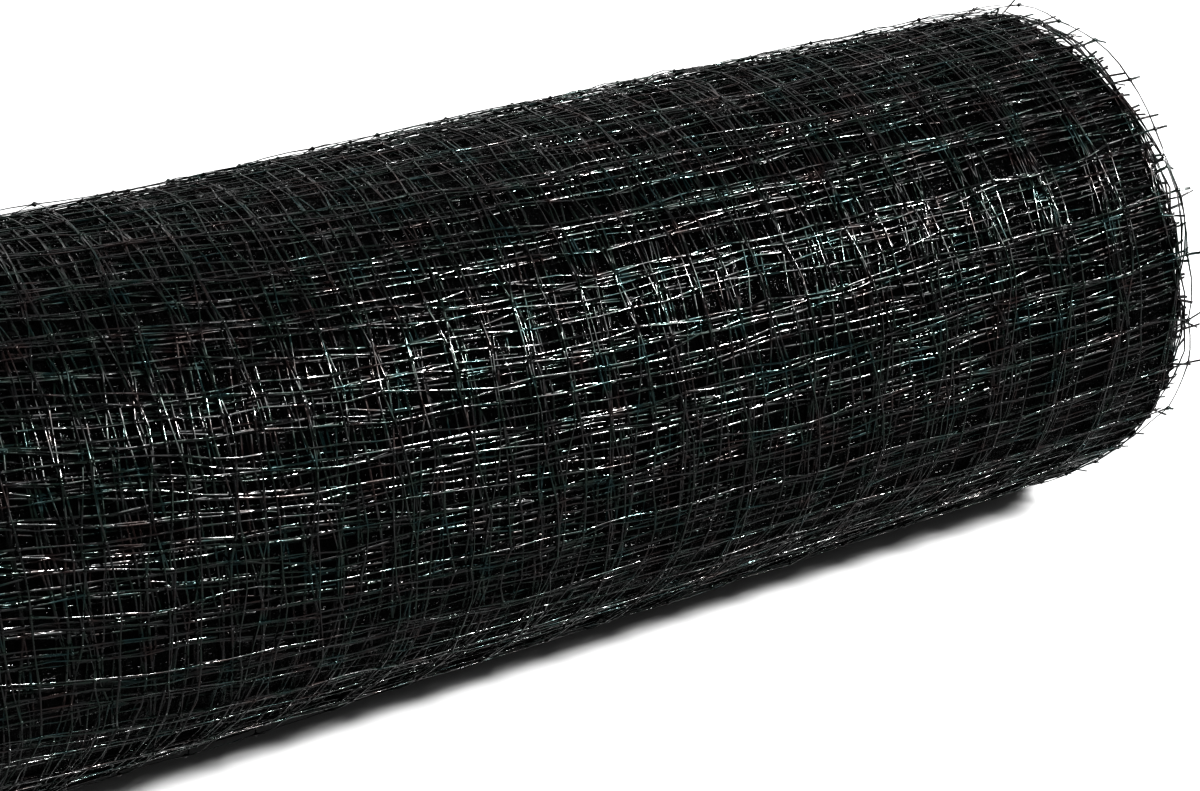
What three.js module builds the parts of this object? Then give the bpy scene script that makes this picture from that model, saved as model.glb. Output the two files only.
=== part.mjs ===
// A roll of black plastic poultry netting, lying on its side along X on the plane z = 0.
// The web of net is rolled up on itself with no core. Its last half turn has sprung off
// the roll and stands a few millimetres clear of it over the top, the front and the rims.
// Millimetres, +Z up.
import * as THREE from "three";

// The net: an extruded and stretched web with rectangular meshes.
const meshRound = 16;
const meshAlong = 19.2;
const meshesAcrossWeb = 47;
const webWidth = meshAlong * meshesAcrossWeb;

// The wound roll.
const rollRadius = 68;
const lapStep = 1.8; // how much thicker the roll is after the whole of its last turn
const rootAngle = 203; // where the loose lap leaves the roll, in degrees from +Y towards +Z
const rootFlank = 1.2; // degrees that the step at the root takes up
const webPastBody = 4.2; // the loose lap reaches this far past the wound laps at each end
const halfLength = webWidth / 2 - webPastBody;
const flatHalfAngle = 9; // the least width of the resting flat spot, each way from down
const flatSag = 1.4; // how far the roll settles onto it
const axisHeight = rollRadius - flatSag;

// The hollow eye down the middle, a little wider than it is high.
const eyeHalfWidth = 13;
const eyeHalfHeight = 10;

// The spiral that shows on both end faces: bundles of laps that stand out a little.
const bundlePitch = 13;
const bundleDepth = 3;
const endDish = 3; // the laps round the eye lie this far behind those at the rim

const roundSteps = 44;
const lengthSteps = 12;
const faceRings = 11;
const eyeSteps = 3;

// The rim draws in towards each end.
const rimStations = [
  { fromEnd: 16, drawnIn: 0 },
  { fromEnd: 5, drawnIn: 0.9 },
  { fromEnd: 0.8, drawnIn: 2.6 },
];

// Slow swellings of the roll, as waves along it and round it.
const swellings = [
  { height: 0.55, wavesAlong: 1.6, wavesRound: 1, phase: 40 },
  { height: 0.35, wavesAlong: 3.1, wavesRound: 2, phase: 160 },
  { height: 0.3, wavesAlong: 0.7, wavesRound: 3, phase: 250 },
];

// Where the outer laps at each end are set back, round one side of the rim.
const endSetBacks = [
  { end: 1, angle: 232, spread: 22, depth: 6 },
  { end: 1, angle: 60, spread: 50, depth: 1 },
  { end: -1, angle: 300, spread: 40, depth: 2.5 },
  { end: -1, angle: 110, spread: 60, depth: 1.5 },
];

// The loose lap: a sheet of net cut through at twice the mesh.
const lapThickness = 1.3;
const barWidth = 3.2;
const gapsRound = 7;
const gapsAlong = 24;
const lapPitchRound = 2 * meshRound;
const lapRootGap = 2; // along the arc, from the step at the root
const lapSeat = 0.85; // clearance where the lap lies on the roll
const lapStandOff = 2; // how much further it stands off where it is loosest
const standOffWave = 250; // the lap is loose at the far rim and again this far along
const standOffStart = 425;

const radians = (degrees) => (degrees * Math.PI) / 180;

const netPlastic = new THREE.MeshStandardMaterial({
  name: "netting",
  color: 0x0b0c0c,
  roughness: 0.32,
  metalness: 0,
});

// The angle round the roll of a point that lies so many degrees along the last turn,
// counted from the root up over the front, the top and the back.
function angleAt(wound) {
  return rootAngle - wound;
}

// The radius of the wound body there, before the rims and the flat spot.
function bodyRadius(wound, x) {
  const along = x / webWidth;
  const swelling = swellings.reduce(
    (sum, s) =>
      sum +
      s.height *
        Math.sin(
          radians(s.phase + 360 * s.wavesAlong * along) +
            radians(s.wavesRound * wound),
        ),
    0,
  );
  return rollRadius + lapStep * (wound / 360 - 0.5) + swelling;
}

// The turn from one angle to another, from -180 to 180 degrees.
function turnBetween(angle, from) {
  return ((((angle - from) % 360) + 540) % 360) - 180;
}

// How far an end face is set back at an angle round the roll.
function setBack(end, angle) {
  return endSetBacks
    .filter((dip) => dip.end === end)
    .reduce((sum, dip) => {
      const away = turnBetween(angle, dip.angle) / dip.spread;
      return sum + dip.depth * Math.exp(-(away ** 2));
    }, 0);
}

function eyeRadius(angle) {
  const a = radians(angle);
  return (
    1 / Math.hypot(Math.cos(a) / eyeHalfWidth, Math.sin(a) / eyeHalfHeight)
  );
}

// A point from its place along the roll, its angle and its radius.
function place(x, angle, radius) {
  const a = radians(angle);
  return new THREE.Vector3(x, radius * Math.cos(a), radius * Math.sin(a));
}

// The outline of the wound body in the plane through its axis at one angle: along the
// outside, in over the far face, back through the eye and out over the near face.
function bodyOutline(wound) {
  const angle = angleAt(wound);
  const faceAt = (end, share = 1) =>
    end * (halfLength - setBack(end, angle) * share ** 2);
  const outside = (x, drawnIn) => {
    const p = place(x, angle, bodyRadius(wound, x) - drawnIn);
    const underneath = Math.abs(turnBetween(angle, 270)) < flatHalfAngle;
    if (p.z < -axisHeight || (underneath && drawnIn === 0)) p.z = -axisHeight;
    return p;
  };
  const rim = (end) =>
    rimStations.map((s) => outside(faceAt(end) - end * s.fromEnd, s.drawnIn));
  const nearRim = rim(-1).reverse();
  const farRim = rim(1);
  const straight = [];
  const from = nearRim[nearRim.length - 1].x;
  const to = farRim[0].x;
  for (let i = 1; i < lengthSteps; i++)
    straight.push(outside(from + ((to - from) * i) / lengthSteps, 0));
  const face = (end) => {
    const outer =
      bodyRadius(wound, end * halfLength) -
      rimStations[rimStations.length - 1].drawnIn;
    const points = [];
    for (let i = 1; i <= faceRings; i++) {
      const share = 1 - i / faceRings;
      const radius = eyeRadius(angle) + share * (outer - eyeRadius(angle));
      const turns = (radius - eyeHalfHeight) / bundlePitch + wound / 360;
      const relief = (bundleDepth / 2) * (1 - Math.cos(2 * Math.PI * turns));
      const back = relief + endDish * (1 - share) ** 2;
      points.push(place(faceAt(end, share) - end * back, angle, radius));
    }
    return points;
  };
  const farFace = face(1);
  const nearFace = face(-1).reverse();
  const eye = [];
  const eyeFrom = farFace[farFace.length - 1].x;
  const eyeTo = nearFace[0].x;
  for (let i = 1; i < eyeSteps; i++)
    eye.push(
      place(
        eyeFrom + ((eyeTo - eyeFrom) * i) / eyeSteps,
        angle,
        eyeRadius(angle),
      ),
    );
  return [...nearRim, ...straight, ...farRim, ...farFace, ...eye, ...nearFace];
}

function geometryFrom(points, triangles) {
  const geometry = new THREE.BufferGeometry();
  geometry.setFromPoints(points);
  geometry.setIndex(triangles);
  geometry.computeVertexNormals();
  return geometry;
}

// The wound body: its outline carried round the roll, one whole turn of the spiral.
function woundNetting() {
  const points = [];
  let count = 0;
  for (let j = 0; j < roundSteps; j++) {
    const outline = bodyOutline(((360 - rootFlank) * j) / (roundSteps - 1));
    count = outline.length;
    points.push(...outline);
  }
  const at = (j, k) => (j % roundSteps) * count + (k % count);
  const triangles = [];
  for (let j = 0; j < roundSteps; j++)
    for (let k = 0; k < count; k++) {
      triangles.push(at(j, k), at(j + 1, k + 1), at(j + 1, k));
      triangles.push(at(j, k), at(j, k + 1), at(j + 1, k + 1));
    }
  return new THREE.Mesh(geometryFrom(points, triangles), netPlastic);
}

// How far the inside of the loose lap lies from the body.
function clearance(wound, x) {
  const lapEnd = arcDegrees(lapRootGap + gapsRound * lapPitchRound + barWidth);
  const acrossArc = Math.sin(Math.PI * Math.min(1, wound / lapEnd)) ** 0.7;
  const wave = Math.cos((2 * Math.PI * (x - standOffStart)) / standOffWave);
  return lapSeat + lapStandOff * acrossArc * (0.6 + 0.4 * wave);
}

function arcDegrees(length) {
  return (length / rollRadius) * (180 / Math.PI);
}

// A sheet made of a grid of blocks, with some of them left out, as one closed skin.
// pointAt(column, row, side) gives its points, side 0 within and side 1 without.
function latticeSheet(columns, rows, isOpen, pointAt) {
  const points = [];
  const triangles = [];
  const index = new Map();
  const vertex = (c, r, side) => {
    const key = `${c},${r},${side}`;
    if (!index.has(key)) {
      index.set(key, points.length);
      points.push(pointAt(c, r, side));
    }
    return index.get(key);
  };
  const quad = (a, b, c, d) => triangles.push(a, c, b, a, d, c);
  const solid = (c, r) =>
    c >= 0 && r >= 0 && c < columns && r < rows && !isOpen(c, r);
  for (let c = 0; c < columns; c++)
    for (let r = 0; r < rows; r++) {
      if (!solid(c, r)) continue;
      const corners = (side) => [
        vertex(c, r, side),
        vertex(c + 1, r, side),
        vertex(c + 1, r + 1, side),
        vertex(c, r + 1, side),
      ];
      const inner = corners(0);
      const outer = corners(1);
      quad(...outer);
      quad(inner[0], inner[3], inner[2], inner[1]);
      const neighbours = [
        [c, r - 1],
        [c + 1, r],
        [c, r + 1],
        [c - 1, r],
      ];
      neighbours.forEach(([nc, nr], side) => {
        const next = (side + 1) % 4;
        if (!solid(nc, nr))
          quad(outer[side], inner[side], inner[next], outer[next]);
      });
    }
  return geometryFrom(points, triangles);
}

// The loose lap: bars of net over gaps, two blocks to a gap round the roll so that it
// follows the curve, and one along it.
function looseLap() {
  const acrossGap = 2;
  const blocksRound = gapsRound * (1 + acrossGap) + 1;
  const blocksAlong = gapsAlong * 2 + 1;
  const gapRound = (lapPitchRound - barWidth) / acrossGap;
  const arcAt = (line) => {
    const cell = Math.floor(line / (1 + acrossGap));
    const within = line % (1 + acrossGap);
    const past = within === 0 ? 0 : barWidth + (within - 1) * gapRound;
    return lapRootGap + cell * lapPitchRound + past;
  };
  const xAt = (line) => {
    const edge = -webWidth / 2;
    const gapAlong = (webWidth - barWidth) / gapsAlong - barWidth;
    return (
      edge + Math.ceil(line / 2) * barWidth + Math.floor(line / 2) * gapAlong
    );
  };
  const isOpen = (c, r) => c % (1 + acrossGap) !== 0 && r % 2 === 1;
  const pointAt = (c, r, side) => {
    const wound = arcDegrees(arcAt(c));
    const x = xAt(r);
    const radius =
      bodyRadius(wound, x) + clearance(wound, x) + side * lapThickness;
    return place(x, angleAt(wound), radius);
  };
  return new THREE.Mesh(
    latticeSheet(blocksRound, blocksAlong, isOpen, pointAt),
    netPlastic,
  );
}

const roll = new THREE.Group();
const body = woundNetting();
body.name = "wound_netting";
const lap = looseLap();
lap.name = "loose_lap";
roll.add(body, lap);

// The origin is under the middle of the roll, on the surface that it lies on.
const reach = new THREE.Box3().setFromObject(roll);
const middle = reach.getCenter(new THREE.Vector3());
roll.position.set(-middle.x, -middle.y, -reach.min.z);

export default roll;
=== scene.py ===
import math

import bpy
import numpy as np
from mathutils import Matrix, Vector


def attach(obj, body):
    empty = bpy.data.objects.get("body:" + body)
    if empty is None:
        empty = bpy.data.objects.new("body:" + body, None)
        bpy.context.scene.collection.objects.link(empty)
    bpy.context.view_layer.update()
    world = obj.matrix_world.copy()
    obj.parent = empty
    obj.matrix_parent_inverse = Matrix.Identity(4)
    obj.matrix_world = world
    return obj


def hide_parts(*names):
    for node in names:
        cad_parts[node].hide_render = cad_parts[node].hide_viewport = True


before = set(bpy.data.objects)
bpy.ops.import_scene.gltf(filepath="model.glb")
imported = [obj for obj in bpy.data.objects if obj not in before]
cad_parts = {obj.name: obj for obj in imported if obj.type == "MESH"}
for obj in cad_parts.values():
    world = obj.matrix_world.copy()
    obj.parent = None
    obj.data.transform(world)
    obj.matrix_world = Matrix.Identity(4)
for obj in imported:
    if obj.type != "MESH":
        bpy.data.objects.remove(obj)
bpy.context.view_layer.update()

# A roll of black plastic poultry netting that lies on its side along X, on the plane z = 0.
# Every strand of the net is a thin tube. They are drawn on the flat web, in millimetres,
# and the web is then wound round the eye of the roll, lap by lap, as the solids are.

metresPerMillimetre = 0.001
print("frame loaded")

# The flat web and how it is wound. Rows are the strands that run along the roll: row 0 lies
# at the root of the loose lap, higher rows on that lap and lower ones in the roll.
web = {
    "meshRound": 16.0,
    "meshAlong": 19.2,
    "meshesAcross": 47,
    "firstRow": 3.6,
    "looseRows": 14,
    "rootAngle": 203.0,
    "rollRadius": 68.0,
    "outsideIn": 0.15,
    "lapStep": 1.8,
    "outerStep": 0.5,
    "outerPitch": 0.21,
    "outerLaps": 16,
    "lapPitch": 0.552,
    "eyeHalfWidth": 13.0,
    "eyeHalfHeight": 10.0,
    "offEye": 0.5,
    "firstOffEye": 0.4,
    "endInset": 3.2,
    "axisHeight": 66.6,
    "axisY": 0.38,
    "offFloor": 0.55,
    "offFloorEachDeep": 0.58,
    "lapArc": 193.1,
    "lapSeat": 0.65,
    "lapStandOff": 1.8,
    "standOffRise": 0.7,
    "standOffLeast": 0.1,
    "standOffPeak": 8,
    "standOffWave": 285.0,
    "standOffStart": 440.0,
    "rootLift": 0.85,
    "rootLiftTurn": 20,
    "mostLooseTurn": 260,
}
meshesAcross = web["meshesAcross"]
webWidth = web["meshAlong"] * meshesAcross
eyeRadius = (web["eyeHalfWidth"] + web["eyeHalfHeight"]) / 2

# Slow swellings of the roll, as waves along it and round it.
swellings = [
    {"height": 0.55, "wavesAlong": 1.6, "wavesRound": 1, "phase": 40},
    {"height": 0.35, "wavesAlong": 3.1, "wavesRound": 2, "phase": 160},
    {"height": 0.30, "wavesAlong": 0.7, "wavesRound": 3, "phase": 250},
]
# Where the laps at each end are set back, round one side of the rim. The higher the fall,
# the sooner it fades from the outermost laps inwards.
endSetBacks = [
    {"end": 1, "angle": 234, "spread": 22, "depth": 13.0, "fall": 16},
    {"end": 1, "angle": 60, "spread": 50, "depth": 1.0, "fall": 2},
    {"end": -1, "angle": 300, "spread": 40, "depth": 2.5, "fall": 2},
    {"end": -1, "angle": 110, "spread": 60, "depth": 1.5, "fall": 2},
]
rim = {
    "bundlePitch": 13.0,
    "bundleDepth": 3.0,
    "bundlesEnd": 0.96,
    "bundlesFade": 0.12,
    "endDish": 3.0,
    "drawnIn": 0.9,
    "drawLength": 3.0,
    "settleTurn": 6,
    "settleSpan": 26,
}

# How uneven the net is: bends of whole laps, and each knot and strand on its own.
unevenness = {
    "rowSkew": 0.052,
    "rowBow": 41.0,
    "rowBowPlace": 110.0,
    "rowBowLength": 170.0,
    "edgeFade": 70,
    "sideways": 0.5,
    "lengthways": 0.9,
    "height": 0.3,
    "heightReach": 1.5,
    "edgeWander": 1.9,
    "wander": [3.2, 2.8, 2.4, 2.0, 1.5],
    "knotJitter": 0.6,
    "knotHeight": 0.16,
    "jitterMost": 2.2,
    "bow": 0.5,
    "bowHeight": 0.22,
    "stub": 2.5,
    "stubLeast": 0.3,
    "stubMost": 6,
    "longStubs": 0.25,
    "longStubExtra": 2,
    "stubBend": 0.3,
    "freeEnd": 2.0,
}
# The waves that each kind of bend is made of: how many, the shortest and the longest.
bendWaves = {
    "sideways": (9, 45, 260),
    "lengthways": (9, 70, 300),
    "height": (9, 50, 220),
    "edge": (8, 60, 420),
    "wander": (4, 260, 900),
}
draw = np.random.default_rng(5)


def turnBetween(angle, start):
    return (angle - start + 180) % 360 - 180


def swelling(wound, x):
    total = 0
    for wave in swellings:
        along = math.radians(wave["phase"]) + 2 * math.pi * wave["wavesAlong"] * x / webWidth
        total = total + wave["height"] * np.sin(along + np.radians(wave["wavesRound"] * wound))
    return total


# The radius that the web has before swellings and the eye's own shape, for a turn counted
# in degrees from the root: positive on the loose lap, negative into the roll.
def plainRadius(turn):
    first = np.clip(-turn / 360, 0, 1)
    deeper = np.clip(-turn / 360 - 1, 0, None)
    outside = web["rollRadius"] + web["lapStep"] / 2 - web["outsideIn"]
    loosened = np.minimum(deeper, web["outerLaps"])
    inside = outside - web["outerStep"] * first - web["outerPitch"] * loosened
    inside = inside - web["lapPitch"] * (deeper - loosened)
    loose = web["rollRadius"] - web["lapStep"] / 2 + web["lapStep"] * turn / 360
    return np.where(turn < 0, inside, loose)


# How far the loose lap stands off the roll: most at the far rim and a wave's length from it.
def clearance(turn, x):
    acrossArc = np.sin(np.pi * np.clip(turn / web["lapArc"], 0, 1)) ** web["standOffRise"]
    wave = 0.5 + 0.5 * np.cos(2 * np.pi * (x - web["standOffStart"]) / web["standOffWave"])
    least = web["standOffLeast"]
    loosest = least + (1 - least) * wave ** web["standOffPeak"]
    out = web["lapSeat"] + web["lapStandOff"] * acrossArc * loosest
    atRoot = web["rootLift"] * np.exp(-np.clip(turn, 0, None) / web["rootLiftTurn"])
    return np.where(turn < 0, 0, out + atRoot)


def webRadius(turn, x):
    plain = plainRadius(turn)
    share = np.clip((plain - eyeRadius) / (web["rollRadius"] - eyeRadius), 0, 1.2)
    angle = np.radians(web["rootAngle"] - turn)
    eye = 1 / np.hypot(np.cos(angle) / web["eyeHalfWidth"], np.sin(angle) / web["eyeHalfHeight"])
    shaped = plain + (1 - share) * (eye + web["offEye"] - eyeRadius)
    return shaped + share * swelling(turn, x) + clearance(turn, x), share


# The arc length along the web as a table over the turn, to find the turn of each row.
def spiralTable():
    turns = [0.0]
    lengths = [0.0]
    step = 1.0
    while True:
        radius = float(plainRadius(np.array(turns[-1] - step / 2)))
        if radius < eyeRadius + web["firstOffEye"]:
            break
        turns.append(turns[-1] - step)
        lengths.append(lengths[-1] - math.radians(step) * radius)
    looseSteps = range(1, web["mostLooseTurn"])
    looseTurns = [step * k for k in looseSteps]
    looseLengths = [lengths[0] + math.radians(step) * web["rollRadius"] * k for k in looseSteps]
    return np.array(turns[::-1] + looseTurns), np.array(lengths[::-1] + looseLengths)


tableTurns, tableLengths = spiralTable()
lastRow = -int((-tableLengths[0] - web["firstRow"]) / web["meshRound"])
rowCount = web["looseRows"] - lastRow + 1
print("web of", rowCount, "rows,", round(-tableLengths[0] / 1000, 2), "m wound")


# Bends over the flat web, as a sum of waves with random lengths and headings.
def makeWaves(count, shortest, longest, height):
    length = shortest * (longest / shortest) ** draw.random(count)
    heading = draw.uniform(0, 2 * math.pi, count)
    return {
        "x": 2 * math.pi * np.cos(heading) / length,
        "s": 2 * math.pi * np.sin(heading) / length,
        "phase": draw.uniform(0, 2 * math.pi, count),
        "height": height * math.sqrt(2 / count),
    }


def waveSum(waves, s, x):
    total = 0
    for kx, ks, phase in zip(waves["x"], waves["s"], waves["phase"]):
        total = total + np.sin(kx * x + ks * s + phase)
    return waves["height"] * total


bends = {
    "sideways": makeWaves(*bendWaves["sideways"], unevenness["sideways"]),
    "lengthways": makeWaves(*bendWaves["lengthways"], unevenness["lengthways"]),
    "height": makeWaves(*bendWaves["height"], unevenness["height"]),
    "nearEdge": makeWaves(*bendWaves["edge"], unevenness["edgeWander"]),
    "farEdge": makeWaves(*bendWaves["edge"], unevenness["edgeWander"]),
}
wanders = [makeWaves(*bendWaves["wander"], height) for height in unevenness["wander"]]
jitter = draw.normal(size=(rowCount, meshesAcross + 1, 3))
jitter = jitter.clip(-unevenness["jitterMost"], unevenness["jitterMost"])
jitter[..., :2] *= unevenness["knotJitter"]
jitter[..., 2] *= unevenness["knotHeight"]
alongBow = draw.normal(size=(rowCount, meshesAcross, 2))
roundBow = draw.normal(size=(rowCount, meshesAcross + 1, 2))
stubs = unevenness["stubLeast"] + draw.exponential(unevenness["stub"], size=(rowCount, 2))
isLong = draw.random((rowCount, 2)) < unevenness["longStubs"]
stubs = np.where(isLong, stubs + unevenness["longStubExtra"], stubs)
stubs = stubs.clip(unevenness["stubLeast"], unevenness["stubMost"])


# How far each end face lies in from the web's own edge, at an angle and a radius.
def faceInset(end, turn, share, radius):
    angle = web["rootAngle"] - turn
    back = 0
    for dip in endSetBacks:
        if dip["end"] == end:
            away = turnBetween(angle, dip["angle"]) / dip["spread"]
            back = back + dip["depth"] * np.exp(-(away**2)) * np.clip(share, 0, 1) ** dip["fall"]
    turns = (radius - web["eyeHalfHeight"]) / rim["bundlePitch"] + turn / 360
    relief = rim["bundleDepth"] / 2 * (1 - np.cos(2 * np.pi * turns))
    dish = rim["endDish"] * (1 - np.clip(share, 0, 1)) ** 2
    relief = relief * np.clip((rim["bundlesEnd"] - share) / rim["bundlesFade"], 0, 1)
    inner = web["endInset"] + back + relief + dish
    settled = np.clip((rim["settleTurn"] - turn) / rim["settleSpan"], 0, 1)
    return inner * settled**2 * (3 - 2 * settled)


# Places of the web in space, with the outward direction there. rows and across may be
# fractions; side, length and height are offsets in millimetres.
def webPlaces(rows, across, side, length, height):
    s = web["firstRow"] + web["meshRound"] * rows
    x = web["meshAlong"] * across - webWidth / 2
    skew = unevenness["rowSkew"] * x
    skew = skew - unevenness["rowBow"] * np.tanh(
        (x - unevenness["rowBowPlace"]) / unevenness["rowBowLength"]
    )
    edge = web["firstRow"] + web["meshRound"] * web["looseRows"]
    fade = np.clip((edge - s) / unevenness["edgeFade"], 0, 1)
    moved = s + (skew + waveSum(bends["lengthways"], s, x)) * fade + length
    turn = np.interp(moved, tableLengths, tableTurns)
    radius, share = webRadius(turn, x)
    near = faceInset(-1, turn, share, radius)
    far = faceInset(1, turn, share, radius)
    inward = (near * (1 - across / meshesAcross)) - far * (across / meshesAcross)
    acrossShare = np.clip(across / meshesAcross, 0, 1)
    wander = waveSum(bends["nearEdge"], s, 0 * x) * (1 - acrossShare)
    wander = (wander + waveSum(bends["farEdge"], s, 0 * x) * acrossShare) * (turn < 0)
    for order, waves in enumerate(wanders, 1):
        wander = wander + waveSum(waves, s, 0 * x) * np.sin(order * math.pi * acrossShare)
    placed = x + inward + wander + waveSum(bends["sideways"], s, x) + side
    fromEnd = np.clip(webWidth / 2 - np.abs(placed) - web["endInset"], 0, None)
    drawn = rim["drawnIn"] * np.exp(-fromEnd / rim["drawLength"]) * (turn < 0) * share**2
    bendShare = np.clip(share * unevenness["heightReach"], 0, 1)
    radius = radius - drawn + waveSum(bends["height"], s, x) * bendShare + height
    angle = np.radians(web["rootAngle"] - turn)
    y = radius * np.cos(angle)
    z = radius * np.sin(angle)
    depth = np.clip(web["rollRadius"] - plainRadius(turn), 0, None)
    z = np.maximum(z, -web["axisHeight"] + web["offFloor"] + web["offFloorEachDeep"] * depth)
    place = np.stack([placed, y + web["axisY"], z + web["axisHeight"]], -1)
    outward = np.stack([0 * angle, np.cos(angle), np.sin(angle)], -1)
    return place, outward


# Strands are thickest at the knots, thinner than they are wide, and twist a little. The image
# has one band for each strand, with a margin round each face of it.
strand = {"flatness": 0.45, "stubThickness": 0.75, "twist": 0.2, "twistPace": (0.4, 1.5)}
strandImage = {"bandMargin": 0.1, "endMargin": 0.01, "cap": (0.005, 0.5)}


# The strands that run along the roll in some rows, with a number of pieces to a mesh,
# between two of the strands that run round it.
def alongStrands(rows, pieces, start=0, stop=meshesAcross):
    index = rows - lastRow
    inner = np.arange(start * pieces, stop * pieces + 1)
    across = np.tile(inner / pieces, (len(rows), 1))
    cell = np.minimum(inner // pieces, meshesAcross - 1)
    part = inner / pieces - cell
    knots = jitter[index]
    offset = knots[:, cell] * (1 - part)[None, :, None] + knots[:, cell + 1] * part[None, :, None]
    bow = alongBow[index][:, cell] * (4 * part * (1 - part))[None, :, None]
    offset[..., 1] += bow[..., 0] * unevenness["bow"]
    offset[..., 2] += bow[..., 1] * unevenness["bowHeight"]
    ends = stubs[index] / web["meshAlong"]
    knotShare = np.abs(2 * part - 1) ** 2
    if start == 0:
        across = np.concatenate([-ends[:, :1], across], 1)
        offset = np.concatenate([offset[:, :1], offset], 1)
        offset[:, 0, 1:] += alongBow[index, 0] * stubs[index, :1] * unevenness["stubBend"]
        knotShare = np.append(strand["stubThickness"], knotShare)
    if stop == meshesAcross:
        across = np.concatenate([across, meshesAcross + ends[:, 1:]], 1)
        offset = np.concatenate([offset, offset[:, -1:]], 1)
        offset[:, -1, 1:] += alongBow[index, -1] * stubs[index, 1:] * unevenness["stubBend"]
        knotShare = np.append(knotShare, strand["stubThickness"])
    place, outward = webPlaces(
        rows[:, None] + 0 * across, across, offset[..., 0], offset[..., 1], offset[..., 2]
    )
    return place, outward, np.tile(knotShare, (len(rows), 1))


# Strands that run round the roll, from one row to another.
def roundStrands(firstRow, finalRow, pieces, warps, freeEnd=False):
    inner = np.arange((finalRow - firstRow) * pieces + 1)
    rows = firstRow + inner / pieces
    cell = np.minimum(inner // pieces, finalRow - firstRow - 1)
    part = inner / pieces - cell
    index = cell + firstRow - lastRow
    offset = jitter[index] * (1 - part)[:, None, None] + jitter[index + 1] * part[:, None, None]
    bow = roundBow[index] * (4 * part * (1 - part))[:, None, None]
    offset[..., 0] += bow[..., 0] * unevenness["bow"]
    offset[..., 2] += bow[..., 1] * unevenness["bowHeight"]
    knotShare = np.abs(2 * part - 1) ** 2
    if freeEnd:
        rows = np.append(rows, rows[-1] + unevenness["freeEnd"] / web["meshRound"])
        offset = np.concatenate([offset, offset[-1:]])
        knotShare = np.append(knotShare, strand["stubThickness"])
    offset = offset.transpose(1, 0, 2)[warps]
    across = warps[:, None] + 0 * rows[None, :]
    place, outward = webPlaces(
        rows[None, :] + 0 * across, across, offset[..., 0], offset[..., 1], offset[..., 2]
    )
    return place, outward, np.tile(knotShare, (len(warps), 1))


# The numbers of the materials on each piece.
strandSlot = 0
knotSlot = 1


# Closed tubes along strands: points, the faces with a UV place for each corner, and the
# number of their material.
def tubes(place, outward, knotShare, sides, thin, thick):
    strands, count, _ = place.shape
    ahead = np.gradient(place, axis=1)
    ahead /= np.linalg.norm(ahead, axis=-1, keepdims=True)
    outward = outward - ahead * (outward * ahead).sum(-1, keepdims=True)
    outward /= np.linalg.norm(outward, axis=-1, keepdims=True)
    sideways = np.cross(ahead, outward)
    phase = draw.uniform(0, 2 * math.pi, (strands, 1))
    pace = draw.uniform(*strand["twistPace"], (strands, 1))
    twist = strand["twist"] * np.sin(phase + pace * np.arange(count))[..., None]
    up = outward * np.cos(twist) + sideways * np.sin(twist)
    over = sideways * np.cos(twist) - outward * np.sin(twist)
    turn = 2 * math.pi * (np.arange(sides) + 0.5) / sides
    radius = (thin + (thick - thin) * knotShare)[..., None, None]
    ring = strand["flatness"] * np.cos(turn)[:, None] * up[..., None, :]
    ring = ring + np.sin(turn)[:, None] * over[..., None, :]
    points = (place[..., None, :] + radius * ring).reshape(-1, 3)
    number, step, side = np.meshgrid(
        np.arange(strands), np.arange(count - 1), np.arange(sides), indexing="ij"
    )
    following = (side + 1) % sides
    first = (number * count + step) * sides
    quads = np.stack(
        [first + side, first + following, first + sides + following, first + sides + side], -1
    ).reshape(-1, 4)
    margin = strandImage["endMargin"]
    within = 1 - 2 * margin
    low = (number + (side + strandImage["bandMargin"]) / sides) / strands
    high = (number + (side + 1 - strandImage["bandMargin"]) / sides) / strands
    left = step / (count - 1) * within + margin
    right = (step + 1) / (count - 1) * within + margin
    quadMap = np.stack([left, low, left, high, right, high, right, low], -1).reshape(-1, 4, 2)
    ends = np.arange(strands)[:, None] * count * sides
    capStart = ends + np.arange(sides)[::-1]
    capEnd = ends + (count - 1) * sides + np.arange(sides)
    caps = np.concatenate([capStart, capEnd])
    capMap = np.tile(strandImage["cap"], (len(caps), sides, 1)).reshape(len(caps), sides, 2)
    return points, [(quads, quadMap), (caps, capMap)], strandSlot


# Flat lozenges where strands cross, each one drawn out along both strands.
knot = {"uneven": 0.25, "spotWithin": 0.96, "spotMargin": 0.02, "spotSize": 0.004}


def knotLumps(rows, size):
    across = np.arange(meshesAcross + 1)[None, :] + 0 * rows[:, None]
    offset = jitter[rows - lastRow]
    place, outward = webPlaces(
        rows[:, None] + 0.0 * across, across, offset[..., 0], offset[..., 1], offset[..., 2]
    )
    place = place.reshape(-1, 3)
    outward = outward.reshape(-1, 3)
    along = np.tile([1.0, 0, 0], (len(place), 1))
    roundWay = np.cross(outward, along)
    uneven = 1 + knot["uneven"] * (draw.random((len(place), 3)) - 0.5)
    reach = np.array([size["along"], size["round"], size["deep"]]) * uneven
    corners = []
    for axis, direction in enumerate([along, roundWay, outward]):
        corners.append(place + direction * reach[:, axis : axis + 1])
        corners.append(place - direction * reach[:, axis : axis + 1])
    points = np.stack(corners, 1).reshape(-1, 3)
    faces = np.array(
        [[0, 2, 4], [2, 1, 4], [1, 3, 4], [3, 0, 4], [2, 0, 5], [1, 2, 5], [3, 1, 5], [0, 3, 5]]
    )
    faces = faces[:, ::-1]
    faces = (np.arange(len(place))[:, None, None] * 6 + faces[None]).reshape(-1, 3)
    spot = draw.random((len(place), 1, 1, 2)) * knot["spotWithin"] + knot["spotMargin"]
    corner = np.array([[0, 0], [knot["spotSize"], 0], [0, knot["spotSize"]]])
    faceMap = np.tile(spot, (1, 8, 1, 1)) + corner[None, None]
    return points, [(faces, faceMap.reshape(-1, 3, 2))], knotSlot


triangleTotal = 0


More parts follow.
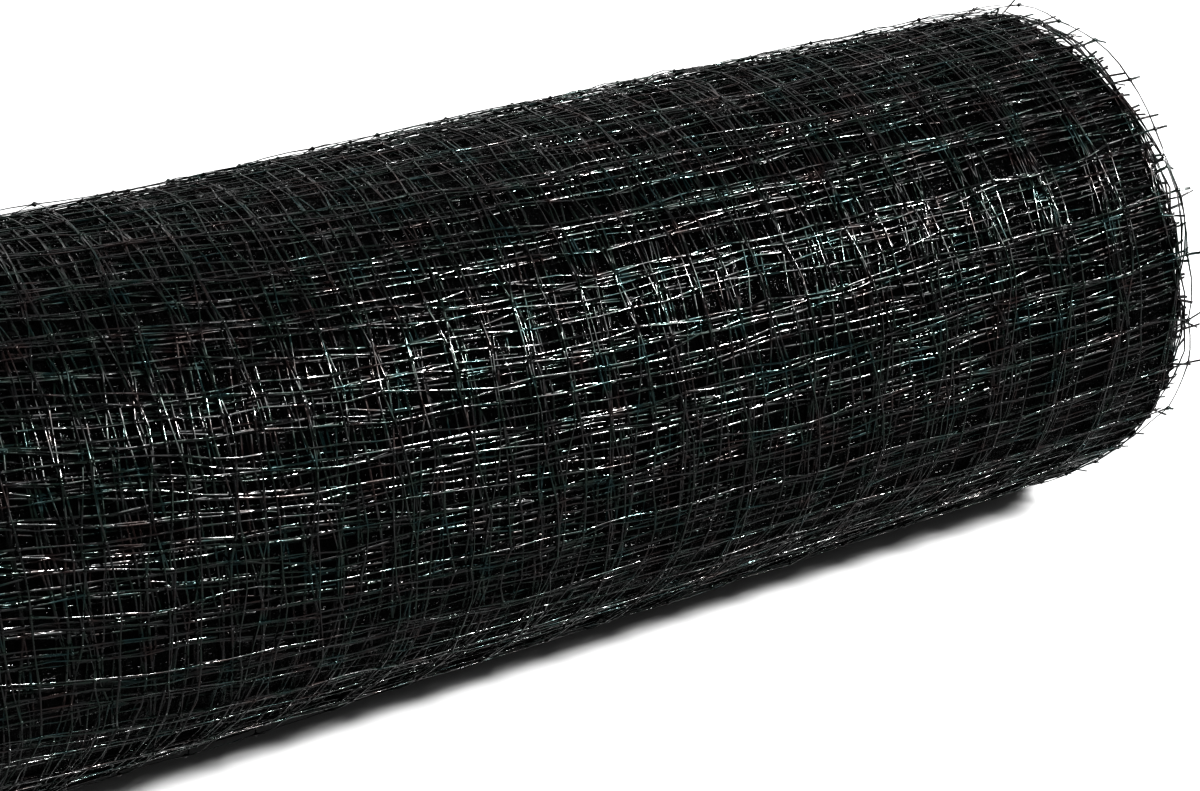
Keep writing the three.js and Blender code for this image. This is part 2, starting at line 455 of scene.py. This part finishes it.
# One mesh object from several sets of points and faces.
def joinedMesh(name, sets):
    global triangleTotal
    points = []
    corners = []
    sizes = []
    maps = []
    slots = []
    before = 0
    for setPoints, setFaces, slot in sets:
        points.append(setPoints)
        for faces, faceMap in setFaces:
            corners.append((faces + before).ravel())
            sizes.append(np.full(len(faces), faces.shape[1]))
            slots.append(np.full(len(faces), slot))
            maps.append(faceMap.reshape(-1, 2))
        before += len(setPoints)
    points = np.concatenate(points) * metresPerMillimetre
    corners = np.concatenate(corners).astype(np.int32)
    sizes = np.concatenate(sizes)
    starts = (np.cumsum(sizes) - sizes).astype(np.int32)
    mesh = bpy.data.meshes.new(name)
    mesh.vertices.add(len(points))
    mesh.vertices.foreach_set("co", points.astype(np.float32).ravel())
    mesh.loops.add(len(corners))
    mesh.polygons.add(len(starts))
    mesh.polygons.foreach_set("loop_start", starts)
    mesh.polygons.foreach_set("vertices", corners)
    mesh.polygons.foreach_set("material_index", np.concatenate(slots).astype(np.int32))
    mesh.update(calc_edges=True)
    mesh.validate()
    layer = mesh.uv_layers.new(name="OFBake")
    layer.uv.foreach_set("vector", np.concatenate(maps).astype(np.float32).ravel())
    mesh.shade_smooth()
    triangles = int((sizes - 2).sum())
    triangleTotal += triangles
    piece = bpy.data.objects.new(name, mesh)
    bpy.context.scene.collection.objects.link(piece)
    print(name, triangles, "triangles")
    return piece


# The finish of the stretched plastic: faint tints, and uneven gloss with fine draw lines.
stretched = {
    "tintScale": 130,
    "tintDetail": 2,
    "tints": [
        (0.3, (0.004, 0.016, 0.017, 1)),
        (0.42, (0.006, 0.013, 0.009, 1)),
        (0.56, (0.010, 0.010, 0.011, 1)),
        (0.72, (0.017, 0.008, 0.008, 1)),
    ],
    "shines": [
        (0.34, (0.74, 1.0, 0.99, 1)),
        (0.44, (0.9, 1.0, 0.95, 1)),
        (0.5, (1, 1, 1, 1)),
        (0.58, (1, 1, 1, 1)),
        (0.68, (1.0, 0.91, 0.88, 1)),
    ],
    "glossScale": 330,
    "glossDetail": 2,
    "glossRange": (0.44, 0.56),
    "lineScale": 380,
    "lineDetail": 1.5,
    "lineDepth": 0.0004,
}


def fillRamp(node, stops):
    elements = node.color_ramp.elements
    for element, (position, colour) in zip(elements, (stops[0], stops[-1])):
        element.position = position
        element.color = colour
    for position, colour in stops[1:-1]:
        elements.new(position).color = colour


def noiseNode(nodes, scale, detail):
    noise = nodes.new("ShaderNodeTexNoise")
    noise.inputs["Scale"].default_value = scale
    noise.inputs["Detail"].default_value = detail
    return noise


def plasticGroup():
    group = bpy.data.node_groups.new("stretchedPlastic", "ShaderNodeTree")
    for name in ("Tint", "Dull", "Gloss", "Flat", "Unevenness"):
        group.interface.new_socket(name, in_out="INPUT", socket_type="NodeSocketFloat")
    group.interface.new_socket("Base", in_out="INPUT", socket_type="NodeSocketColor")
    group.interface.new_socket("Color", in_out="OUTPUT", socket_type="NodeSocketColor")
    group.interface.new_socket("Reflection", in_out="OUTPUT", socket_type="NodeSocketColor")
    group.interface.new_socket("Roughness", in_out="OUTPUT", socket_type="NodeSocketFloat")
    group.interface.new_socket("Normal", in_out="OUTPUT", socket_type="NodeSocketVector")
    nodes, links = group.nodes, group.links
    given = nodes.new("NodeGroupInput")
    result = nodes.new("NodeGroupOutput")
    place = nodes.new("ShaderNodeTexCoord")
    tintNoise = noiseNode(nodes, stretched["tintScale"], stretched["tintDetail"])
    tints = nodes.new("ShaderNodeValToRGB")
    fillRamp(tints, stretched["tints"])
    mix = nodes.new("ShaderNodeMix")
    mix.data_type = "RGBA"
    shine = nodes.new("ShaderNodeValToRGB")
    fillRamp(shine, stretched["shines"])
    glossNoise = noiseNode(nodes, stretched["glossScale"], stretched["glossDetail"])
    glossRange = nodes.new("ShaderNodeMapRange")
    glossRange.inputs["From Min"].default_value = stretched["glossRange"][0]
    glossRange.inputs["From Max"].default_value = stretched["glossRange"][1]
    fine = noiseNode(nodes, stretched["lineScale"], stretched["lineDetail"])
    facing = nodes.new("ShaderNodeNewGeometry")
    blend = nodes.new("ShaderNodeMix")
    blend.data_type = "VECTOR"
    bump = nodes.new("ShaderNodeBump")
    bump.inputs["Distance"].default_value = stretched["lineDepth"]
    for noise in (tintNoise, glossNoise, fine):
        links.new(place.outputs["Object"], noise.inputs["Vector"])
    links.new(tintNoise.outputs["Fac"], tints.inputs["Fac"])
    links.new(tintNoise.outputs["Fac"], shine.inputs["Fac"])
    links.new(shine.outputs["Color"], result.inputs["Reflection"])
    links.new(given.outputs["Tint"], mix.inputs["Factor"])
    links.new(given.outputs["Base"], mix.inputs["A"])
    links.new(tints.outputs["Color"], mix.inputs["B"])
    links.new(mix.outputs["Result"], result.inputs["Color"])
    links.new(glossNoise.outputs["Fac"], glossRange.inputs["Value"])
    links.new(given.outputs["Gloss"], glossRange.inputs["To Min"])
    links.new(given.outputs["Dull"], glossRange.inputs["To Max"])
    links.new(glossRange.outputs["Result"], result.inputs["Roughness"])
    links.new(given.outputs["Flat"], blend.inputs["Factor"])
    links.new(facing.outputs["Normal"], blend.inputs["A"])
    links.new(facing.outputs["True Normal"], blend.inputs["B"])
    links.new(blend.outputs["Result"], bump.inputs["Normal"])
    links.new(fine.outputs["Fac"], bump.inputs["Height"])
    links.new(given.outputs["Unevenness"], bump.inputs["Strength"])
    links.new(bump.outputs["Normal"], result.inputs["Normal"])
    return group


plastic = plasticGroup()


def nettingMaterial(name, finish):
    material = bpy.data.materials.new(name)
    material.use_nodes = True
    nodes, links = material.node_tree.nodes, material.node_tree.links
    shader = nodes["Principled BSDF"]
    effect = nodes.new("ShaderNodeGroup")
    effect.node_tree = plastic
    effect.inputs["Tint"].default_value = finish["tint"]
    effect.inputs["Gloss"].default_value = finish["gloss"]
    effect.inputs["Dull"].default_value = finish["dull"]
    effect.inputs["Base"].default_value = (*finish["colour"], 1)
    effect.inputs["Flat"].default_value = finish["flat"]
    effect.inputs["Unevenness"].default_value = finish["bump"]
    links.new(effect.outputs["Color"], shader.inputs["Base Color"])
    links.new(effect.outputs["Roughness"], shader.inputs["Roughness"])
    links.new(effect.outputs["Reflection"], shader.inputs["Specular Tint"])
    links.new(effect.outputs["Normal"], shader.inputs["Normal"])
    shader.inputs["IOR"].default_value = finish["ior"]
    return material


looseFinish = {
    "colour": (0.0060, 0.0064, 0.0064),
    "tint": 0.4,
    "gloss": 0.06,
    "dull": 0.45,
    "bump": 0.55,
    "flat": 0.6,
    "ior": 1.4,
}
# The wound and deep laps get darker base colours than the loose lap, darker the deeper they lie:
# painted shade of the depth of the roll, on one and the same plastic.
woundShadedFinish = {
    "colour": (0.0050, 0.0056, 0.0056),
    "tint": 0.5,
    "gloss": 0.06,
    "dull": 0.45,
    "bump": 0.55,
    "flat": 0.6,
    "ior": 1.4,
}
deepShadedFinish = {
    "colour": (0.0035, 0.0040, 0.0042),
    "tint": 0.5,
    "gloss": 0.06,
    "dull": 0.45,
    "bump": 0.55,
    "flat": 0.4,
    "ior": 1.4,
}
# The packed laps' base colour is darker than the strands': painted shade of the deep laps.
packedShadedFinish = {
    "colour": (0.0015, 0.0017, 0.0018),
    "ior": 1.22,
    "roughness": 0.12,
    "bump": 1.0,
    "relief": 0.002,
    "streaks": [(120.0, 75.0), (1200.0, 8.0)],
    "streakDetail": 2,
}
looseMaterial = nettingMaterial("looseNetting", looseFinish)
woundMaterial = nettingMaterial("woundNetting", woundShadedFinish)
deepMaterial = nettingMaterial("deepNetting", deepShadedFinish)
knotFinish = {
    "colour": (0.0060, 0.0064, 0.0064),
    "tint": 0.4,
    "gloss": 0.06,
    "dull": 0.3,
    "bump": 0.3,
    "flat": 0.1,
    "ior": 1.45,
}
knotMaterial = nettingMaterial("nettingKnots", knotFinish)


# The laps too deep to show strand by strand: near black, darker than the strands as painted shade
# of the depth, with short glints drawn out along the roll and round it.
def packedNetting(name, finish):
    material = bpy.data.materials.new(name)
    material.use_nodes = True
    nodes, links = material.node_tree.nodes, material.node_tree.links
    shader = nodes["Principled BSDF"]
    shader.inputs["Base Color"].default_value = (*finish["colour"], 1)
    shader.inputs["IOR"].default_value = finish["ior"]
    shader.inputs["Roughness"].default_value = finish["roughness"]
    place = nodes.new("ShaderNodeTexCoord")
    parts = nodes.new("ShaderNodeSeparateXYZ")
    links.new(place.outputs["Object"], parts.inputs["Vector"])
    rise = nodes.new("ShaderNodeMath")
    rise.operation = "SUBTRACT"
    rise.inputs[1].default_value = web["axisHeight"] * metresPerMillimetre
    links.new(parts.outputs["Z"], rise.inputs[0])
    angle = nodes.new("ShaderNodeMath")
    angle.operation = "ARCTAN2"
    links.new(rise.outputs[0], angle.inputs[0])
    links.new(parts.outputs["Y"], angle.inputs[1])
    heights = []
    for lengthScale, arcScale in finish["streaks"]:
        streak = nodes.new("ShaderNodeCombineXYZ")
        drawnOut = [(parts.outputs["X"], lengthScale, "X"), (angle.outputs[0], arcScale, "Y")]
        for source, scale, axis in drawnOut:
            times = nodes.new("ShaderNodeMath")
            times.operation = "MULTIPLY"
            times.inputs[1].default_value = scale
            links.new(source, times.inputs[0])
            links.new(times.outputs[0], streak.inputs[axis])
        noise = noiseNode(nodes, 1, finish["streakDetail"])
        noise.noise_dimensions = "2D"
        links.new(streak.outputs["Vector"], noise.inputs["Vector"])
        heights.append(noise.outputs["Fac"])
    highest = nodes.new("ShaderNodeMath")
    highest.operation = "MAXIMUM"
    links.new(heights[0], highest.inputs[0])
    links.new(heights[1], highest.inputs[1])
    bump = nodes.new("ShaderNodeBump")
    bump.inputs["Strength"].default_value = finish["bump"]
    bump.inputs["Distance"].default_value = finish["relief"]
    links.new(highest.outputs[0], bump.inputs["Height"])
    links.new(bump.outputs["Normal"], shader.inputs["Normal"])
    return material


packedMaterial = packedNetting("packedNetting", packedShadedFinish)

knotSize = {"along": 0.95, "round": 0.8, "deep": 0.5}
looseKnotSize = {"along": 1.05, "round": 0.9, "deep": 0.65}
allWarps = np.arange(meshesAcross + 1)


def finishPiece(piece, material, node):
    piece.data.materials.append(material)
    if material is not packedMaterial:
        piece.data.materials.append(knotMaterial)
    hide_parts(node)
    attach(piece, "root")


# The loose lap, the last half turn of the web. Its edge strands are the thinnest.
looseLap = {
    "sides": 6,
    "pieces": 3,
    "thin": 0.21,
    "thick": 0.36,
    "edgeThin": 0.19,
    "edgeThick": 0.28,
}


def makeLooseLap():
    rows = np.arange(1, web["looseRows"] + 1)
    along = alongStrands(rows, looseLap["pieces"])
    inside = roundStrands(0, web["looseRows"], looseLap["pieces"], allWarps[1:-1], True)
    edges = roundStrands(0, web["looseRows"], looseLap["pieces"], allWarps[[0, -1]], True)
    sets = [
        tubes(*along, looseLap["sides"], looseLap["thin"], looseLap["thick"]),
        tubes(*inside, looseLap["sides"], looseLap["thin"], looseLap["thick"]),
        tubes(*edges, looseLap["sides"], looseLap["edgeThin"], looseLap["edgeThick"]),
        knotLumps(rows, looseKnotSize),
    ]
    finishPiece(joinedMesh("loose_outer_lap", sets), looseMaterial, "loose_lap")


# The wound laps that show from the sides, band by band from the root inwards, at the full
# length of the roll. The deeper ones show only between the strands of the others.
woundBands = [
    {"rows": 28, "sides": 4, "pieces": 3, "thin": 0.21, "thick": 0.37, "knots": True},
    {"rows": 80, "sides": 4, "pieces": 2, "thin": 0.22, "thick": 0.38, "knots": True},
    {"rows": 112, "sides": 3, "pieces": 2, "thin": 0.26, "thick": 0.40, "knots": True},
    {"rows": 112, "sides": 3, "pieces": 2, "thin": 0.30, "thick": 0.42, "knots": False},
    {"rows": 112, "sides": 3, "pieces": 2, "thin": 0.34, "thick": 0.42, "knots": False},
]


def makeWoundBands():
    outer = 0
    for number, band in enumerate(woundBands, 1):
        inner = outer - band["rows"]
        rows = np.arange(inner, outer) + 1
        along = alongStrands(rows, band["pieces"])
        around = roundStrands(inner, outer, band["pieces"], allWarps)
        sets = [
            tubes(*along, band["sides"], band["thin"], band["thick"]),
            tubes(*around, band["sides"], band["thin"], band["thick"]),
        ]
        if band["knots"]:
            sets.append(knotLumps(rows, knotSize))
        material = woundMaterial if band["knots"] else deepMaterial
        finishPiece(joinedMesh("wound_laps_" + str(number), sets), material, "wound_netting")
        outer = inner
    return outer


# The laps further in, of which only the ends show: the cut edges with their stubs, two
# meshes deep. The ones next to the eye run the whole length again.
innerLaps = {"meshesDeep": 2, "sides": 3, "thickness": 0.45, "eyeRows": 16, "eyePieces": 2}


def makeInnerLaps(outer):
    split = (outer + lastRow) // 2
    deep = innerLaps["meshesDeep"]
    size = (innerLaps["sides"], innerLaps["thickness"], innerLaps["thickness"])
    ends = [(0, deep), (meshesAcross - deep, meshesAcross)]
    for side, (start, stop) in zip(("near", "far"), ends):
        sets = []
        for first, final, pieces in [(split, outer, 1), (lastRow, split, 2)]:
            rows = np.arange(first, final) + 1
            warps = allWarps[:deep] if side == "near" else allWarps[-deep:]
            sets.append(tubes(*alongStrands(rows, 1, start, stop), *size))
            sets.append(tubes(*roundStrands(first, final, pieces, warps), *size))
        finishPiece(joinedMesh("lap_ends_" + side, sets), deepMaterial, "wound_netting")
    rows = np.arange(lastRow, lastRow + innerLaps["eyeRows"])
    lastEyeRow = lastRow + innerLaps["eyeRows"]
    around = roundStrands(lastRow, lastEyeRow, innerLaps["eyePieces"], allWarps)
    sets = [tubes(*alongStrands(rows, 1), *size), tubes(*around, *size)]
    finishPiece(joinedMesh("eye_laps", sets), deepMaterial, "wound_netting")


# What lies between those: the laps packed too deep to show one by one, as one dark body whose
# strands are relief; its darker colour is painted shade. It flares out to the rims, where it is
# jagged and lumpy.
packedLaps = {
    "roundSteps": 240,
    "lengthSteps": 32,
    "faceSteps": 20,
    "inFromEnd": -1.2,
    "bodyRadius": 65.2,
    "rimRadius": 67.6,
    "flareLength": 12.0,
    "lowest": 1.7,
    "turnsOffEye": 2,
    "jagged": 1.1,
    "jaggedMost": 3.5,
    "lumps": 0.7,
    "bends": 1.2,
    "bendPlaces": 1.2,
}


def makePackedLaps(outer):
    outerLength = web["firstRow"] + web["meshRound"] * outer
    outerTurn = float(np.interp(outerLength, tableLengths, tableTurns))
    innerTurn = tableTurns[0] + 360 * packedLaps["turnsOffEye"]
    step = 360 / packedLaps["roundSteps"]
    turnsRound = -step * np.arange(packedLaps["roundSteps"])
    lengthShare = (1 - np.cos(np.linspace(0, np.pi, packedLaps["lengthSteps"] + 1))) / 2
    faceShare = np.linspace(0, 1, packedLaps["faceSteps"] + 1)[1:-1]
    depths = np.concatenate([0 * lengthShare, faceShare, 1 + 0 * lengthShare, faceShare[::-1]])
    reach = np.concatenate([lengthShare, 1 + 0 * faceShare, lengthShare[::-1], 0 * faceShare])
    turn = (outerTurn * (1 - depths) + innerTurn * depths)[None, :] + turnsRound[:, None]
    half = webWidth / 2 - packedLaps["inFromEnd"]
    radius, share = webRadius(turn, 0 * turn)
    risen = (packedLaps["bodyRadius"] - plainRadius(np.array(outerTurn))) * (1 - depths[None, :])
    flare = (packedLaps["rimRadius"] - packedLaps["bodyRadius"]) * (1 - depths[None, :])
    radius = radius + risen
    rimShare = share + (risen + flare) / (web["rollRadius"] - eyeRadius)
    jagged = draw.exponential(packedLaps["jagged"], (packedLaps["roundSteps"], 2, 1))
    jagged = jagged.clip(0, packedLaps["jaggedMost"]) * (1 - depths)
    near = faceInset(-1, turn, rimShare, radius + flare) - half + jagged[:, 0]
    far = half - faceInset(1, turn, rimShare, radius + flare) - jagged[:, 1]
    x = near + (far - near) * reach[None, :]
    angle = np.radians(web["rootAngle"] - turn)
    rough = waveSum(bends["height"], turn * packedLaps["bendPlaces"], x) * packedLaps["bends"]
    fromEnd = (half - np.abs(x)) / packedLaps["flareLength"]
    lumps = draw.normal(0, packedLaps["lumps"], x.shape) * np.exp(-fromEnd) * (1 - depths)
    radius = radius + rough + flare * np.exp(-(fromEnd**2)) + lumps
    height = np.maximum(radius * np.sin(angle) + web["axisHeight"], packedLaps["lowest"])
    points = np.stack([x, radius * np.cos(angle) + web["axisY"], height], -1)
    count = points.shape[1]
    ring, spot = np.meshgrid(np.arange(len(points)), np.arange(count), indexing="ij")
    nextRing = (ring + 1) % len(points)
    nextSpot = (spot + 1) % count
    here = ring * count
    beyond = nextRing * count
    faces = np.stack([here + spot, here + nextSpot, beyond + nextSpot, beyond + spot], -1)
    faces = faces.reshape(-1, 4)
    u = spot / count
    v = ring / len(points)
    du = 1 / count
    dv = 1 / len(points)
    faceMap = np.stack([u, v, u + du, v, u + du, v + dv, u, v + dv], -1).reshape(-1, 4, 2)
    sets = [(points.reshape(-1, 3), [(faces, faceMap)], strandSlot)]
    finishPiece(joinedMesh("packed_laps", sets), packedMaterial, "wound_netting")


makeLooseLap()
deepestRow = makeWoundBands()
makeInnerLaps(deepestRow)
makePackedLaps(deepestRow)
print("netting made,", triangleTotal, "triangles")

# A plain pale floor.
floor = {
    "size": 8.0,
    "colour": (0.49, 0.49, 0.49),
    "darker": 0.985,
    "patches": 3,
    "roughness": 0.7,
    "gloss": 0.2,
}


def makeFloor():
    half = floor["size"] / 2
    mesh = bpy.data.meshes.new("floor")
    corners = [(-half, -half, 0), (half, -half, 0), (half, half, 0), (-half, half, 0)]
    mesh.from_pydata(corners, [], [(0, 1, 2, 3)])
    plane = bpy.data.objects.new("floor", mesh)
    bpy.context.scene.collection.objects.link(plane)
    material = bpy.data.materials.new("paleFloor")
    material.use_nodes = True
    nodes, links = material.node_tree.nodes, material.node_tree.links
    shader = nodes["Principled BSDF"]
    shader.inputs["Roughness"].default_value = floor["roughness"]
    shader.inputs["Specular IOR Level"].default_value = floor["gloss"]
    noise = nodes.new("ShaderNodeTexNoise")
    noise.inputs["Scale"].default_value = floor["patches"]
    ramp = nodes.new("ShaderNodeValToRGB")
    ramp.color_ramp.elements[0].color = (*[c * floor["darker"] for c in floor["colour"]], 1)
    ramp.color_ramp.elements[1].color = (*floor["colour"], 1)
    links.new(noise.outputs["Fac"], ramp.inputs["Fac"])
    links.new(ramp.outputs["Color"], shader.inputs["Base Color"])
    mesh.materials.append(material)


makeFloor()

# Soft studio light: a white room that is brighter behind the roll and above, a soft box on the
# side of the camera, and a large dim one behind. The ramps say where the room gets brighter.
lighting = {
    "roomFront": 0.5,
    "roomBack": 1.3,
    "backRamp": (0.2, 0.7),
    "heightRamp": (0.1, 0.45),
    "target": (0.28, 0.0, 0.09),
    "distance": 3.6,
    "key": {
        "name": "softBox",
        "direction": (0.45, -0.58, 0.68),
        "size": (0.40, 0.58),
        "power": 236.0,
    },
    "fill": {
        "name": "backSoftBox",
        "direction": (-0.35, 0.75, 0.56),
        "size": (1.3, 1.0),
        "power": 14.0,
    },
}


def makeLights():
    world = bpy.data.worlds.new("room")
    bpy.context.scene.world = world
    world.use_nodes = True
    background = world.node_tree.nodes["Background"]
    background.inputs["Color"].default_value = (1, 1, 1, 1)
    nodes, links = world.node_tree.nodes, world.node_tree.links
    place = nodes.new("ShaderNodeTexCoord")
    parts = nodes.new("ShaderNodeSeparateXYZ")
    wall = nodes.new("ShaderNodeMapRange")
    height = nodes.new("ShaderNodeMapRange")
    for ramp, limits in ((wall, lighting["backRamp"]), (height, lighting["heightRamp"])):
        ramp.interpolation_type = "SMOOTHSTEP"
        ramp.inputs["From Min"].default_value = limits[0]
        ramp.inputs["From Max"].default_value = limits[1]
    height.inputs["To Max"].default_value = lighting["roomBack"] - lighting["roomFront"]
    total = nodes.new("ShaderNodeMath")
    total.operation = "MULTIPLY_ADD"
    total.inputs[2].default_value = lighting["roomFront"]
    links.new(place.outputs["Generated"], parts.inputs["Vector"])
    links.new(parts.outputs["Y"], wall.inputs["Value"])
    links.new(parts.outputs["Z"], height.inputs["Value"])
    links.new(wall.outputs["Result"], total.inputs[0])
    links.new(height.outputs["Result"], total.inputs[1])
    links.new(total.outputs[0], background.inputs["Strength"])
    for box in (lighting["key"], lighting["fill"]):
        light = bpy.data.lights.new(box["name"], "AREA")
        light.shape = "RECTANGLE"
        light.size, light.size_y = box["size"]
        light.energy = box["power"]
        lamp = bpy.data.objects.new(box["name"], light)
        direction = np.array(box["direction"])
        direction = direction / np.linalg.norm(direction)
        lamp.location = np.array(lighting["target"]) + direction * lighting["distance"]
        lamp.rotation_mode = "QUATERNION"
        lamp.rotation_quaternion = Vector(direction).to_track_quat("Z", "Y")
        bpy.context.scene.collection.objects.link(lamp)


makeLights()

# The camera of the photograph: its place, and how far it is turned and looks down.
view = {
    "place": (0.0199, -0.5164, 0.3715),
    "turned": 29.15,
    "down": 28.21,
    "lens": 75.0,
    "sensor": 36.0,
    "nearest": 0.01,
}


def makeCamera():
    data = bpy.data.cameras.new("camera")
    data.sensor_fit = "HORIZONTAL"
    data.sensor_width = view["sensor"]
    data.lens = view["lens"]
    data.clip_start = view["nearest"]
    camera = bpy.data.objects.new("camera", data)
    camera.location = view["place"]
    camera.rotation_euler = (math.radians(90 - view["down"]), 0, math.radians(-view["turned"]))
    bpy.context.scene.collection.objects.link(camera)
    bpy.context.scene.camera = camera


makeCamera()
bpy.context.scene.view_settings.view_transform = "Standard"
bpy.context.scene.view_settings.look = "Very High Contrast"
print("lights and camera set")
